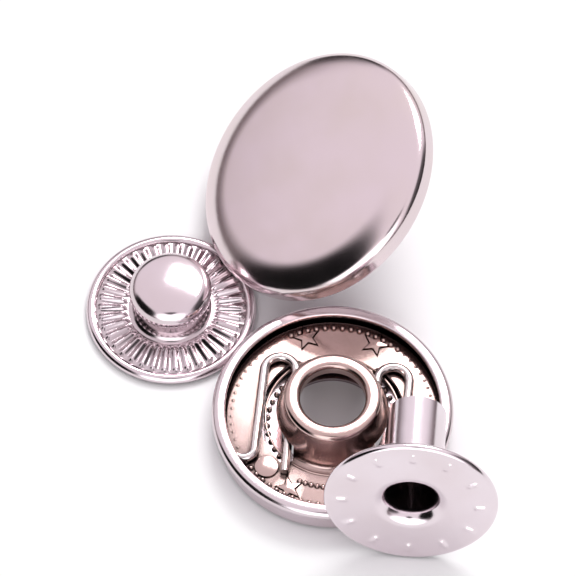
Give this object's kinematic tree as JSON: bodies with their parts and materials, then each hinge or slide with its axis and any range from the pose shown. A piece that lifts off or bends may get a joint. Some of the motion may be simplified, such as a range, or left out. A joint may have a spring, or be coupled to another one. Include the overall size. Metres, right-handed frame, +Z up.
{
  "type": "snap fastener",
  "caption": "Pressed-metal spring snap fastener, its cap, socket, stud and eyelet lying loose beside each other before they are set in cloth.",
  "frame": {"origin": "centre of the socket's mouth, on the ground", "axes": "+Z up, out of the socket's hub; +Y from the eyelet past the socket to the cap; +X from the stud towards the eyelet"},
  "size_m": [0.022, 0.0279, 0.0092],
  "materials": {
    "nickel": "pressed brass sheet, bright nickel plate with a warm tint",
    "dark_nickel": "pressed brass sheet, nickel plate gone brownish in the hollows",
    "spring_wire": "drawn spring wire, bright"
  },
  "bodies": {
    "fastener": {"cap_shell": "nickel", "cap_post_plate": "dark_nickel", "socket_case": "nickel", "socket_hub_plate": "dark_nickel", "stud": "nickel", "eyelet": "nickel"},
    "spring_left": {"spring_left": "spring_wire"},
    "spring_right": {"spring_right": "spring_wire"}
  },
  "joints": [
    {"name": "spring_left_swing", "type": "hinge", "parent": "fastener", "child": "spring_left", "pos_m": [-0.00514, -0.00258, 0.00145], "axis": [0, 0, 1], "range_deg": [0, 6], "stiffness_Nm_per_rad": 0.085},
    {"name": "spring_right_swing", "type": "hinge", "parent": "fastener", "child": "spring_right", "pos_m": [0.00449, -0.00359, 0.00145], "axis": [0, 0, -1], "range_deg": [0, 6], "stiffness_Nm_per_rad": 0.085}
  ]
}
